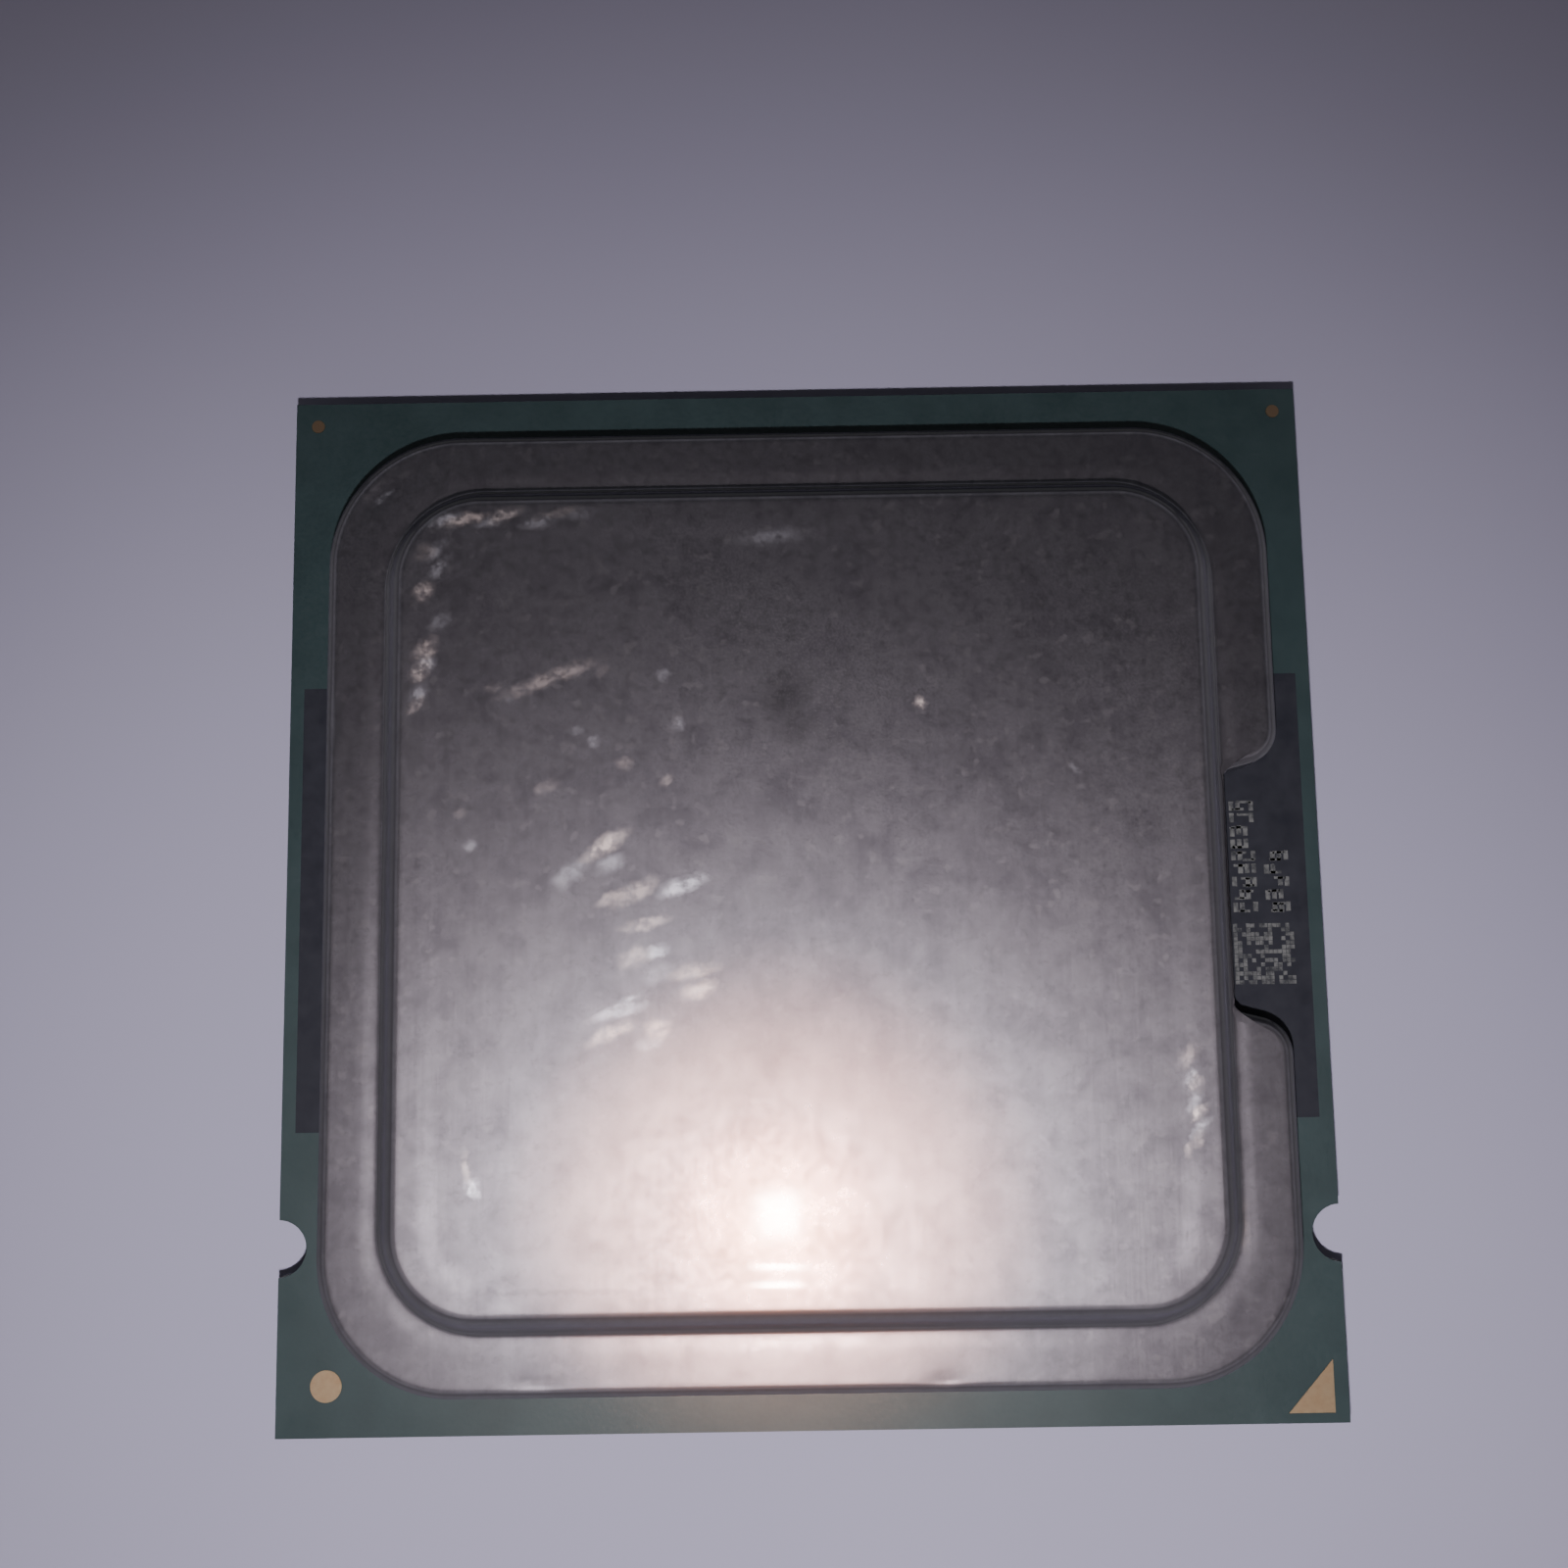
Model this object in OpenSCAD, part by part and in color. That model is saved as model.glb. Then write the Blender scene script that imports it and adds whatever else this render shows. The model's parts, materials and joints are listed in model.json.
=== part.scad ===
// Land-grid-array processor: an organic substrate with contact lands underneath, a silicon die
// bonded face down in its middle, and a stepped metal heat spreader sealed over the die.
// Millimetres. +Z is up. The origin is the centre of the package, at the level of the surface
// that the processor rests on when it lies on its decoupling capacitors.

/* [Substrate] */
// Width and depth of the square package
package_w = 37.5; // [37.5:0.1:38.5]
// Thickness of the glass-epoxy core
core_t = 0.8; // [0.6:0.05:1.2]
// Thickness of each copper plane on the core
copper_t = 0.035; // [0.02:0.005:0.07]
// Thickness of each build-up dielectric stack
buildup_t = 0.125; // [0.08:0.005:0.2]
// Thickness of each solder mask
mask_t = 0.025; // [0.02:0.005:0.05]
// Radius of the two keying notches
notch_r = 1; // [0.9:0.02:1.2]
// Depth of the keying notches, in from the package edge
notch_depth = 0.97; // [0.6:0.01:1]
// Distance of the keying notches from the package centre, towards the marker edge
notch_offset = 12.28; // [8:0.02:14]
// Distance of the heat spreader and the label bands from the package centre, front to back
top_shift = -0.2; // [-0.3:0.05:0.3]

/* [Contact lands] */
// Columns of lands across the package
land_columns = 30; // [26:2:30]
// Rows of lands from front to back
land_rows = 33; // [29:2:33]
// Distance between columns
land_pitch_x = 1.17; // [1.1:0.01:1.17]
// Distance between rows
land_pitch_y = 1.09; // [1.05:0.01:1.09]
// Radius of one land
land_r = 0.43; // [0.3:0.01:0.45]
// Columns left out in the middle, for the capacitors
void_columns = 14; // [14:2:16]
// Rows left out in the middle, for the capacitors
void_rows = 15; // [15:2:17]

/* [Heat spreader] */
// Width and depth of the flange
flange_w = 34.1; // [33.6:0.1:34.5]
// Corner radius of the flange
flange_r = 4.8; // [3:0.1:6]
// Height of the flange's upper face above the substrate
flange_h = 1.61; // [1.45:0.01:1.8]
// Width and depth of the raised plateau
plateau_w = 29.2; // [27:0.1:29.2]
// Corner radius of the plateau
plateau_r = 3.3; // [2:0.1:4]
// Height of the plateau's upper face above the substrate
plateau_h = 3.07; // [2.8:0.01:3.4]
// Radius of the plateau's upper edge
plateau_edge_r = 0.6; // [0.2:0.05:0.7]
// Radius of the hollow curve at the plateau's foot
foot_r = 0.4; // [0.2:0.05:0.4]
// Radius of the flange's upper edge
flange_edge_r = 0.36; // [0.2:0.02:0.5]
// Width and depth of the hollow for the die
cavity_w = 26; // [20:0.5:26]
// Distance of the label cut-out's inner wall from the package centre
cutout_x = 15.05; // [15.05:0.05:16]
// Half the length of the label cut-out at its inner wall
cutout_half = 4.25; // [2:0.05:6]

/* [Die] */
// Width of the die
die_w = 13.6; // [8:0.1:16]
// Depth of the die
die_d = 10.6; // [8:0.1:16]
// Thickness of the die
die_t = 0.775; // [0.5:0.025:0.8]
// Distance between the solder bumps under the die
bump_pitch = 0.8; // [0.7:0.05:1.2]

/* [Capacitors] */
// Width, depth and height of an eight-terminal capacitor
array_cap = [2, 1.25, 0.55]; // [0.5:0.05:2]
// Width, depth and height of a two-terminal capacitor
chip_cap = [1, 0.5, 0.5]; // [0.5:0.05:1]
// Columns of eight-terminal capacitors
array_columns = 3; // [1:1:4]
// Rows of eight-terminal capacitors
array_rows = 5; // [1:1:5]

/* [Hidden] */
$fn = 48;

cap_solder_t = 0.03;
land_z = array_cap.z + cap_solder_t;
lower_buildup_z = land_z + mask_t;
lower_copper_z = lower_buildup_z + buildup_t;
core_z = lower_copper_z + copper_t;
upper_copper_z = core_z + core_t;
upper_buildup_z = upper_copper_z + copper_t;
upper_mask_z = upper_buildup_z + buildup_t;
substrate_z = upper_mask_z + mask_t;

overrun = 1;
plane_inset = 0.4;
notch_x = package_w / 2 + notch_r - notch_depth;
mask_gap = 0.01;
pad_rise = 0.015;
field_recess = 0.005;
field_margin = 0.1;

via_pitch = 1.1;
via_count = 12;
via_r = 0.15;

marker_corner = [18.25, -18.4];
marker_legs = [1.62, 1.8];
small_fiducial_r = 0.24;
small_fiducial_x = 17.93;
small_fiducial_y = 17.89;
large_fiducial_r = 0.55;
large_fiducial_x = 17;

band_outer = 18.25;
band_inner = 14.9;
band_half = 8.05;
band_t = 0.012;

sealant_t = 0.1;
sealant_inset = 0.35;
sealant_inner_w = 27.2;
sealant_inner_r = 2.8;
sealant_vent_w = 2;
sealant_vent_x = -9;
lid_z = substrate_z + sealant_t;
cutout_slope = 15;
cutout_corner_r = 1.3;
cavity_r = 2.5;

bump_h = 0.07;
bump_r = 0.1;
bump_margin = 0.5;
back_metal_t = 0.02;
solder_t = 0.26;
patch_t = 0.02;
solder_spread = 0.3;
patch_spread = 1;
fillet_spread = 1.3;
fillet_h = 0.45;
fillet_top = 0.08;
die_z = substrate_z + bump_h;
back_metal_z = die_z + die_t;
solder_z = back_metal_z + back_metal_t;
patch_z = solder_z + solder_t;
cavity_z = patch_z + patch_t;

array_step = [3.3, 2.15];
terminals_per_side = 4;
terminal_pitch = 0.5;
array_terminal = [0.28, 0.22];
chip_terminal_w = 0.25;
terminal_wall = 0.03;
chip_x = 6.6;
chip_y = 6.9;
chip_step = 2.2;
chip_column_count = 5;
chip_row_count = 4;
pad_margin = 0.04;
solder_toe = 0.14;
solder_rise = 0.3;

function row_of(count, step) = [for (i = [0:count - 1]) (i - (count - 1) / 2) * step];

function in_void(c, r) =
    abs(c - (land_columns - 1) / 2) < void_columns / 2 && abs(r - (land_rows - 1) / 2) < void_rows / 2;

// Nine places on the grid have no land: two at each corner, and a third beside the marker.
function at_corner(c, r) =
    (r == 0 || r == land_rows - 1) && (c <= 1 || c >= land_columns - 2)
    || r == 1 && c == land_columns - 1;

land_places = [for (c = [0:land_columns - 1], r = [0:land_rows - 1])
    if (!in_void(c, r) && !at_corner(c, r))
        [(c - (land_columns - 1) / 2) * land_pitch_x, (r - (land_rows - 1) / 2) * land_pitch_y]];

array_places = [for (x = row_of(array_columns, array_step.x), y = row_of(array_rows, array_step.y))
    [x, y, 0]];
chip_places = concat(
    [for (x = [-chip_x, chip_x], y = row_of(chip_column_count, chip_step)) [x, y, 90]],
    [for (x = row_of(chip_row_count, chip_step), y = [-chip_y, chip_y]) [x, y, 0]]);

// A flat plate with its lower face at height z.
module plate(z, t) {
    translate([0, 0, z]) linear_extrude(t) children();
}

module package_outline(inset = 0) {
    difference() {
        square(package_w - 2 * inset, center = true);
        for (x = [-notch_x, notch_x])
            translate([x, -notch_offset]) circle(notch_r + inset);
    }
}

module rounded_square(w, r) {
    square([w, w - 2 * r], center = true);
    square([w - 2 * r, w], center = true);
    for (x = [-1, 1], y = [-1, 1])
        translate([x, y] * (w / 2 - r)) circle(r);
}

// The four sides and four round corners of a square plate. The child is the section of a side, and
// its x is the distance out from the corners' centres.
module swept_edge(w, r) {
    half = w / 2 - r;
    for (turn = [0:90:270]) rotate(turn) translate([half, half, 0]) {
        rotate_extrude(angle = 90) children();
        rotate([90, 0, 0]) linear_extrude(2 * half) children();
    }
}

// Section of a wall whose upper edge is round.
module wall_section(reach, low, high, r) {
    translate([0, low]) square([reach, high - low - r]);
    translate([0, low]) square([reach - r, high - low]);
    translate([reach - r, high - r]) circle(r);
}

// Section of the hollow curve at the foot of a wall that stands on a face.
module foot_section(reach, face, r) {
    difference() {
        translate([0, face - r]) square([reach + r, 2 * r]);
        translate([reach + r, face + r]) circle(r);
    }
}

module edged_plate(w, r, low, high, edge_r) {
    swept_edge(w, r) wall_section(r, low, high, edge_r);
    plate(low, high - low) square(w - 2 * r, center = true);
}

// The places of a capacitor's terminals: the middle of each, and the side that it is on.
function array_terminals() =
    [for (x = row_of(terminals_per_side, terminal_pitch), side = [-1, 1]) [x, side]];

module at_places(places) {
    for (p = places) translate([p.x, p.y, 0]) rotate(p.z) children();
}

module array_terminal_boxes(margin = 0) {
    for (t = array_terminals())
        translate([t.x, t.y * (array_cap.y - array_terminal.y) / 2])
            square([array_terminal.x, array_terminal.y] + 2 * margin * [1, 1], center = true);
}

module chip_terminal_boxes(margin = 0) {
    for (side = [-1, 1])
        translate([side * (chip_cap.x - chip_terminal_w) / 2, 0])
            square([chip_terminal_w, chip_cap.y] + 2 * margin * [1, 1], center = true);
}

module capacitor_pad_outlines(shrink = 0) {
    at_places(array_places) array_terminal_boxes(pad_margin - shrink);
    at_places(chip_places) chip_terminal_boxes(pad_margin - shrink);
}

module core_laminate() {
    color("darkkhaki") difference() {
        plate(core_z, core_t) package_outline();
        via_cylinders(core_z - overrun, core_t + 2 * overrun);
    }
}

module via_cylinders(z, h) {
    for (x = row_of(via_count, via_pitch), y = row_of(via_count, via_pitch))
        translate([x, y, z]) cylinder(h = h, r = via_r);
}

module core_vias() {
    color("peru") via_cylinders(core_z, core_t);
}

module upper_copper_plane() {
    color("peru") plate(upper_copper_z, copper_t) package_outline(plane_inset);
}

module lower_copper_plane() {
    color("peru") plate(lower_copper_z, copper_t) package_outline(plane_inset);
}

module upper_buildup() {
    color("darkolivegreen") difference() {
        plate(upper_copper_z, copper_t + buildup_t) package_outline();
        plate(upper_copper_z - overrun, overrun + copper_t) package_outline(plane_inset);
    }
}

module lower_buildup() {
    color("darkolivegreen") difference() {
        plate(lower_buildup_z, buildup_t + copper_t) package_outline();
        plate(lower_copper_z, copper_t + overrun) package_outline(plane_inset);
    }
}

module marker_outline(grow = 0) {
    translate(marker_corner + grow * [1, -1])
        polygon([[0, 0], [0, marker_legs.y + 3 * grow], [-marker_legs.x - 3 * grow, 0]]);
}

module fiducial_outlines(grow = 0) {
    for (side = [-1, 1])
        translate([side * small_fiducial_x, small_fiducial_y]) circle(small_fiducial_r + grow);
    translate([-large_fiducial_x, -large_fiducial_x]) circle(large_fiducial_r + grow);
}

module upper_solder_mask() {
    color("darkslategray") difference() {
        plate(upper_mask_z, mask_t) package_outline();
        plate(upper_mask_z - overrun, mask_t + 2 * overrun) {
            marker_outline(mask_gap);
            fiducial_outlines(mask_gap);
        }
    }
}

module lower_solder_mask() {
    hole_h = mask_t + 2 * overrun;
    color("darkslategray") difference() {
        plate(land_z, mask_t) package_outline();
        for (p = land_places)
            translate([p.x, p.y, land_z - overrun]) cylinder(h = hole_h, r = land_r + mask_gap);
        plate(land_z - overrun, hole_h) capacitor_pad_outlines();
        plate(land_z - overrun, overrun + field_recess)
            square([void_columns * land_pitch_x, void_rows * land_pitch_y] - field_margin * [1, 1],
                center = true);
    }
}

module contact_lands() {
    color("gold") for (p = land_places)
        translate([p.x, p.y, land_z - pad_rise]) cylinder(h = mask_t + pad_rise, r = land_r);
}

module pin_one_marker() {
    color("gold") plate(upper_mask_z, mask_t + pad_rise) marker_outline();
}

module fiducial_marks() {
    color("gold") plate(upper_mask_z, mask_t + pad_rise) fiducial_outlines();
}

module label_band(side) {
    plate(substrate_z, band_t)
        translate([side * (band_outer + band_inner) / 2, top_shift])
            square([band_outer - band_inner, 2 * band_half], center = true);
}

module label_band_left() {
    color("midnightblue") label_band(-1);
}

module label_band_right() {
    color("midnightblue") label_band(1);
}

// The outline cut from the flange beside the label, grown by the given distance. Its ends slope
// outwards and meet the flange's edge in a round corner.
module cutout_outline(grow = 0) {
    root = cutout_x - grow;
    half = cutout_half + grow;
    corner_x = flange_w / 2 - cutout_corner_r;
    corner_y = half + (corner_x - root) * tan(cutout_slope) + cutout_corner_r / cos(cutout_slope);
    tangent_x = corner_x + cutout_corner_r * sin(cutout_slope);
    tangent_y = corner_y - cutout_corner_r * cos(cutout_slope);
    difference() {
        for (side = [-1, 1])
            polygon([[root, 0], [root, side * half], [tangent_x, side * tangent_y],
                [corner_x, side * corner_y], [package_w / 2, side * corner_y], [package_w / 2, 0]]);
        for (side = [-1, 1])
            translate([corner_x, side * corner_y]) circle(cutout_corner_r);
    }
}

module heat_spreader() {
    flange_z = substrate_z + flange_h;
    top_z = substrate_z + plateau_h;
    color("silver") translate([0, top_shift, 0]) difference() {
        union() {
            edged_plate(flange_w, flange_r, lid_z, flange_z, flange_edge_r);
            edged_plate(plateau_w, plateau_r, lid_z, top_z, plateau_edge_r);
            swept_edge(plateau_w, plateau_r) foot_section(plateau_r, flange_z, foot_r);
        }
        plate(lid_z - overrun, cavity_z - lid_z + overrun) rounded_square(cavity_w, cavity_r);
        plate(lid_z - overrun, plateau_h + overrun) cutout_outline();
    }
}

module die_block(z, t, spread = 0) {
    translate([0, 0, z + t / 2]) cube([die_w + 2 * spread, die_d + 2 * spread, t], center = true);
}

module spreader_gold_patch() {
    color("gold") die_block(patch_z, patch_t, patch_spread);
}

module thermal_solder() {
    color("lightgray") die_block(solder_z, solder_t, solder_spread);
}

module die_back_metal() {
    color("khaki") die_block(back_metal_z, back_metal_t);
}

module silicon_die() {
    color("slategray") die_block(die_z, die_t);
}

module bump_cylinders(z, h) {
    across = floor((die_w - 2 * bump_margin) / bump_pitch) + 1;
    deep = floor((die_d - 2 * bump_margin) / bump_pitch) + 1;
    for (x = row_of(across, bump_pitch), y = row_of(deep, bump_pitch))
        translate([x, y, z]) cylinder(h = h, r = bump_r);
}

module die_bumps() {
    color("lightgray") bump_cylinders(substrate_z, bump_h);
}

module die_underfill() {
    color("tan") difference() {
        hull() {
            die_block(substrate_z, mask_t, fillet_spread);
            die_block(die_z + fillet_h - mask_t, mask_t, fillet_top);
        }
        die_block(die_z, die_t);
        bump_cylinders(substrate_z - overrun, bump_h + 1.5 * overrun);
    }
}

module lid_sealant() {
    color("dimgray") difference() {
        translate([0, top_shift, 0]) plate(substrate_z, sealant_t) difference() {
            rounded_square(flange_w - 2 * sealant_inset, flange_r - sealant_inset);
            rounded_square(sealant_inner_w, sealant_inner_r);
            cutout_outline(sealant_inset);
            translate([sealant_vent_x, -package_w / 2])
                square([sealant_vent_w, package_w / 2]);
        }
        label_band(-1);
        label_band(1);
    }
}

module capacitor_box(size, inset) {
    translate([0, 0, size.z / 2 + array_cap.z - size.z])
        cube([size.x - 2 * inset.x, size.y - 2 * inset.y, size.z - 2 * inset.z], center = true);
}

module array_clips() {
    difference() {
        linear_extrude(array_cap.z) array_terminal_boxes();
        capacitor_box(array_cap, [0, terminal_wall, terminal_wall]);
    }
}

module chip_clips() {
    difference() {
        translate([0, 0, array_cap.z - chip_cap.z]) linear_extrude(chip_cap.z) chip_terminal_boxes();
        capacitor_box(chip_cap, terminal_wall * [1, 1, 1]);
    }
}

module array_capacitor_bodies() {
    color("rosybrown") at_places(array_places) difference() {
        capacitor_box(array_cap, [0, 0, 0]);
        array_clips();
    }
}

module array_capacitor_terminals() {
    color("gainsboro") at_places(array_places) array_clips();
}

module chip_capacitor_bodies() {
    color("rosybrown") at_places(chip_places) difference() {
        capacitor_box(chip_cap, [0, 0, 0]);
        chip_clips();
    }
}

module chip_capacitor_terminals() {
    color("gainsboro") at_places(chip_places) chip_clips();
}

// A solder joint: a thin bed between terminal and pad, with a toe that climbs the terminal's end.
module solder_joint(bed, width) {
    rotate([90, 0, 0]) translate([0, 0, -width / 2]) linear_extrude(width)
        polygon([[-bed, cap_solder_t], [solder_toe, cap_solder_t], [0, -solder_rise], [0, 0], [-bed, 0]]);
}

module capacitor_solder() {
    color("lightgray") {
        at_places(array_places) for (t = array_terminals())
            translate([t.x, t.y * array_cap.y / 2, array_cap.z]) rotate(t.y * 90)
                solder_joint(array_terminal.y, array_terminal.x);
        at_places(chip_places) for (side = [0, 180])
            rotate(side) translate([chip_cap.x / 2, 0, array_cap.z])
                solder_joint(chip_terminal_w, chip_cap.y);
    }
}

module capacitor_pads() {
    color("gold") plate(land_z, mask_t) capacitor_pad_outlines(mask_gap);
}

core_laminate();
core_vias();
upper_copper_plane();
lower_copper_plane();
upper_buildup();
lower_buildup();
upper_solder_mask();
lower_solder_mask();
contact_lands();
pin_one_marker();
fiducial_marks();
label_band_left();
label_band_right();
heat_spreader();
spreader_gold_patch();
thermal_solder();
die_back_metal();
silicon_die();
die_bumps();
die_underfill();
lid_sealant();
array_capacitor_bodies();
array_capacitor_terminals();
chip_capacitor_bodies();
chip_capacitor_terminals();
capacitor_solder();
capacitor_pads();
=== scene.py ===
import json
import math
import random

import bmesh
import bpy
from mathutils import Matrix, Vector, noise


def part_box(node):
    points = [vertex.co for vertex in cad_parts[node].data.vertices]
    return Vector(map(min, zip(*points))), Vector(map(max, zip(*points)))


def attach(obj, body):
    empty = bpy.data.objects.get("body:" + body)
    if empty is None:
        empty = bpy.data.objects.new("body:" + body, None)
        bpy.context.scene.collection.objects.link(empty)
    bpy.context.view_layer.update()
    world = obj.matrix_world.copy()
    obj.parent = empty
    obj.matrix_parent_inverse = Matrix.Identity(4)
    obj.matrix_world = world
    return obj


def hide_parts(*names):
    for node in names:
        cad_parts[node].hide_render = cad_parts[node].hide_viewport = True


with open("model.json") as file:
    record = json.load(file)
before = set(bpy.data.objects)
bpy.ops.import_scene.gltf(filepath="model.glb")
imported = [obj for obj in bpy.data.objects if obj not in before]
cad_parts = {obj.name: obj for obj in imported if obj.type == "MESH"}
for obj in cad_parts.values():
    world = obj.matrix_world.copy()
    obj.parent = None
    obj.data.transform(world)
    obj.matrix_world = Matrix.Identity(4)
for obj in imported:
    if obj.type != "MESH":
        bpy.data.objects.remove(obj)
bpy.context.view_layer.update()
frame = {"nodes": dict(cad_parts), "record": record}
MM = 0.001


def top_of(node):
    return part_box(node)[1].z / MM


SUBSTRATE_Z = top_of("upper_solder_mask")
LID_LO, LID_HI = (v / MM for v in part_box("heat_spreader"))


def in_scene(name, data):
    made = bpy.data.objects.new(name, data)
    bpy.context.scene.collection.objects.link(made)
    return made


# Camera: nearly straight down, a hand's breadth above the package.

CAMERA_PLACE = Vector((-0.51, -5.57, 67.75 + SUBSTRATE_Z))
CAMERA_LOOK = Vector((-0.0018, 0.1404, -0.9901)).normalized()
CAMERA_RIGHT = Vector((0.9999, -0.0157, -0.004))

camera_data = bpy.data.cameras.new("camera")
camera_data.sensor_width = 36
camera_data.lens = 42.97
camera_data.clip_start = 1 * MM
camera = in_scene("camera", camera_data)
bpy.context.scene.camera = camera
camera_up = CAMERA_RIGHT.cross(CAMERA_LOOK).normalized()
axes = Matrix((CAMERA_LOOK.cross(camera_up), camera_up, -CAMERA_LOOK)).transposed().to_4x4()
camera.matrix_world = Matrix.Translation(CAMERA_PLACE * MM) @ axes


# Meshes


def add_piece(name, vertices, faces, smooth_angle=None):
    """Makes a piece from points in millimetres and rides it on the root body."""
    mesh = bpy.data.meshes.new(name)
    mesh.from_pydata([Vector(v) * MM for v in vertices], [], faces)
    form = bmesh.new()
    form.from_mesh(mesh)
    bmesh.ops.recalc_face_normals(form, faces=form.faces)
    form.to_mesh(mesh)
    form.free()
    if smooth_angle is not None:
        mesh.shade_smooth()
        mesh.set_sharp_from_angle(angle=math.radians(smooth_angle))
    piece = in_scene(name, mesh)
    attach(piece, "root")
    return piece


def spaced(a, b, steps):
    return [a + (b - a) * i / steps for i in range(steps + 1)]


def arc(centre, radius, a, b, steps):
    return [
        (centre[0] + radius * math.cos(math.radians(t)), centre[1] + radius * math.sin(math.radians(t)))
        for t in spaced(a, b, steps)
    ]


# Heat spreader. Its points are worked out about its own centre, which is LID_SHIFT off the package's.

LID_SHIFT = (LID_LO.y + LID_HI.y) / 2
SMOOTH_ANGLE = 40

FLANGE_HALF = LID_HI.x
FLANGE_R = 4.8
FLANGE_Z = SUBSTRATE_Z + 1.61
FLANGE_STRAIGHT = FLANGE_HALF - FLANGE_R  # half the length of a side between its round corners
FLANGE_EDGE = 0.36  # reach of the bend over the flange's upper edge
LIP_TILT = math.radians(45)  # how steep it is where it meets the flange's side
UNDER_EDGE = 0.1  # reach of the small bend at the flange's lower edge, and of its middle
UNDER_BEND = 0.03

PLATEAU_HALF = 14.6
PLATEAU_R = 3.3
EDGE_R = 0.6  # bend over the plateau's edge
FOOT_R = 0.25  # bend at the foot of its wall
WALL_TILT = math.radians(76)
GUTTER = 0.018  # how far the flange dips along that foot
GUTTER_START = 0.65  # as a share of the way from the flange's edge
WALL_RISE = LID_HI.z - FLANGE_Z + GUTTER - (EDGE_R + FOOT_R) * (1 - math.cos(WALL_TILT))
WALL_RUN = WALL_RISE / math.tan(WALL_TILT)
FOOT_OUT = EDGE_R * (math.sin(WALL_TILT) - 1) + WALL_RUN + FOOT_R * math.sin(WALL_TILT)

RIM_HEIGHT = 0.028  # faint raised border of the plateau's face, and where it slopes down
RIM_START = 1.15
RIM_END = 2.15
RIM_LEAST = 0.3  # share of that height which is left away from the -Y side
RIM_FADE_START = 8
RIM_FADE_WIDTH = 5
BROAD_WAVE = 0.005
FINE_WAVE = 0.002

CAVITY_HALF = 13.0
CAVITY_R = 2.5
CAVITY_Z = top_of("spreader_gold_patch")
CAVITY_BEND = 0.3  # between its ceiling and its wall
CAVITY_LEAD = 0.06  # bevel at its mouth

CUT_ROOT = 15.05  # label cut-out: x of its inner wall, half its width there, and its corners
CUT_HALF = 4.25
CUT_SLOPE = 15
CUT_CORNER = 1.3
CUT_FILLET = 0.3

CORNER_STEPS = 36
SIDE_STEPS = 56
CUT_END_STEPS = 10
CUT_CORNER_STEPS = 14
CUT_FILLET_STEPS = 8
CUT_ROOT_STEPS = 18
TREAD_SHARES = (0.06, 0.2, 0.35, 0.5, 0.65, 0.74, 0.82, 0.88, 0.94, 1)


def cutout_side(inset):
    """Points up the +X side of the flange, round the label cut-out. Its inner wall keeps a sharp edge."""
    slope = math.radians(CUT_SLOPE)
    corner_x = FLANGE_HALF - CUT_CORNER
    corner_y = CUT_HALF + (corner_x - CUT_ROOT) * math.tan(slope) + CUT_CORNER / math.cos(slope)
    fillet_y = CUT_HALF - CUT_FILLET * (1 - math.sin(slope)) / math.cos(slope)

    upper = [(FLANGE_HALF - inset, y) for y in spaced(FLANGE_STRAIGHT, corner_y, CUT_END_STEPS)[:-1]]
    upper += arc((corner_x, corner_y), CUT_CORNER - inset, 0, CUT_SLOPE - 90, CUT_CORNER_STEPS)
    for share in spaced(0, 1, CUT_FILLET_STEPS):
        turn = math.radians(90 + CUT_SLOPE + (90 - CUT_SLOPE) * share)
        reach = CUT_FILLET + inset * (1 - share)
        x = CUT_ROOT + CUT_FILLET + reach * math.cos(turn)
        upper.append((x, fillet_y + reach * math.sin(turn)))
    lower = [(x, -y) for x, y in upper]
    middle = [(CUT_ROOT, y) for y in spaced(-fillet_y, fillet_y, CUT_ROOT_STEPS)[1:-1]]
    return lower + middle + upper[::-1]


# Where the points of each loop's straight sides stand: ROWS on the +X and -X sides, COLUMNS on the others
ROWS = [y / FLANGE_STRAIGHT for _, y in cutout_side(0)]
COLUMNS = spaced(-1, 1, SIDE_STEPS)


def loop(half, radius, right=None):
    """A square loop with round corners, counter-clockwise from the foot of its +X side."""
    c = half - radius
    points = right or [(half, t * c) for t in ROWS]
    points = points + arc((c, c), radius, 0, 90, CORNER_STEPS)[1:-1]
    points += [(-t * c, half) for t in COLUMNS]
    points += arc((-c, c), radius, 90, 180, CORNER_STEPS)[1:-1]
    points += [(-half, -t * c) for t in ROWS]
    points += arc((-c, -c), radius, 180, 270, CORNER_STEPS)[1:-1]
    points += [(t * c, -half) for t in COLUMNS]
    points += arc((c, -c), radius, 270, 360, CORNER_STEPS)[1:-1]
    return points


def flange_loop(inset):
    return loop(FLANGE_HALF - inset, FLANGE_R - inset, cutout_side(inset))


def plateau_loop(out):
    return loop(PLATEAU_HALF + out, PLATEAU_R + out)


def cavity_loop(out):
    return loop(CAVITY_HALF + out, CAVITY_R + out)


def between(a, b, share):
    return [(p[0] + (q[0] - p[0]) * share, p[1] + (q[1] - p[1]) * share) for p, q in zip(a, b)]


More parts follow.
